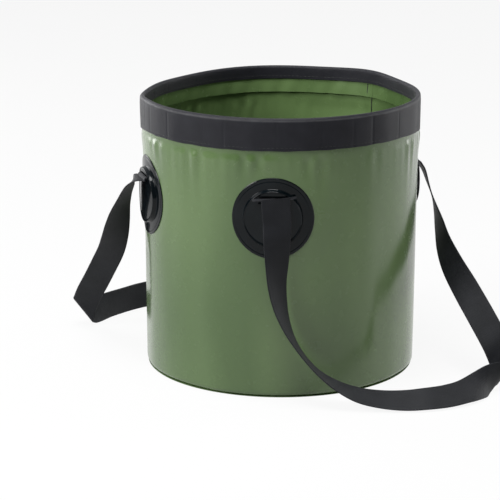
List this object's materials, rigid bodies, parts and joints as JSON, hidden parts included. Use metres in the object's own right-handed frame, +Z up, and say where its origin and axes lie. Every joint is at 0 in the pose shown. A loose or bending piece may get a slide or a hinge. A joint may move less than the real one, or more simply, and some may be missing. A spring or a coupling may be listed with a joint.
{
  "type": "soft carrying bucket",
  "caption": "Soft round bucket bag of coated fabric with a bound rim, round strap patches and shoulder straps that lift from the floor.",
  "frame": {"origin": "centre of the round underside, where the bag stands on a surface", "axes": "+Z up through the mouth; -Y towards the front strap patch; +X to the right of it"},
  "size_m": [0.5034, 0.3947, 0.3],
  "materials": {
    "green_tarpaulin": "glossy coated fabric, soft vertical ripples",
    "patch_vinyl": "glossy moulded vinyl",
    "binding_tape": "ribbed woven tape",
    "strap_webbing": "matte woven webbing",
    "sewing_thread": "twisted thread",
    "hoop_strip": "plain springy strip"
  },
  "bodies": {
    "bag": {"wall_sheet": "green_tarpaulin", "base_sheet": "green_tarpaulin", "mouth_facing": "green_tarpaulin", "rim_hoop": "hoop_strip", "rim_binding": "binding_tape", "binding_stitching": "sewing_thread", "front_patch": "patch_vinyl", "right_patch": "patch_vinyl", "back_patch": "patch_vinyl", "left_patch": "patch_vinyl", "front_anchor_disc": "green_tarpaulin", "right_anchor_disc": "green_tarpaulin", "back_anchor_disc": "green_tarpaulin", "left_anchor_disc": "green_tarpaulin", "front_strap_end": "strap_webbing", "right_strap_end": "strap_webbing", "back_strap_end": "strap_webbing", "left_strap_end": "strap_webbing", "front_strap_stitching": "sewing_thread", "right_strap_stitching": "sewing_thread", "back_strap_stitching": "sewing_thread", "left_strap_stitching": "sewing_thread"},
    "right_strap": {"right_strap_loop": "strap_webbing"},
    "left_strap": {"left_strap_loop": "strap_webbing"}
  },
  "joints": [
    {"name": "right_strap_lift", "type": "hinge", "parent": "bag", "child": "right_strap", "pos_m": [0.003, -0.156, 0.216], "axis": [-0.5655, -0.8247, 0], "range_deg": [0, 95]},
    {"name": "left_strap_lift", "type": "hinge", "parent": "bag", "child": "left_strap", "pos_m": [-0.003, 0.156, 0.216], "axis": [0.5655, 0.8247, 0], "range_deg": [0, 95]}
  ]
}
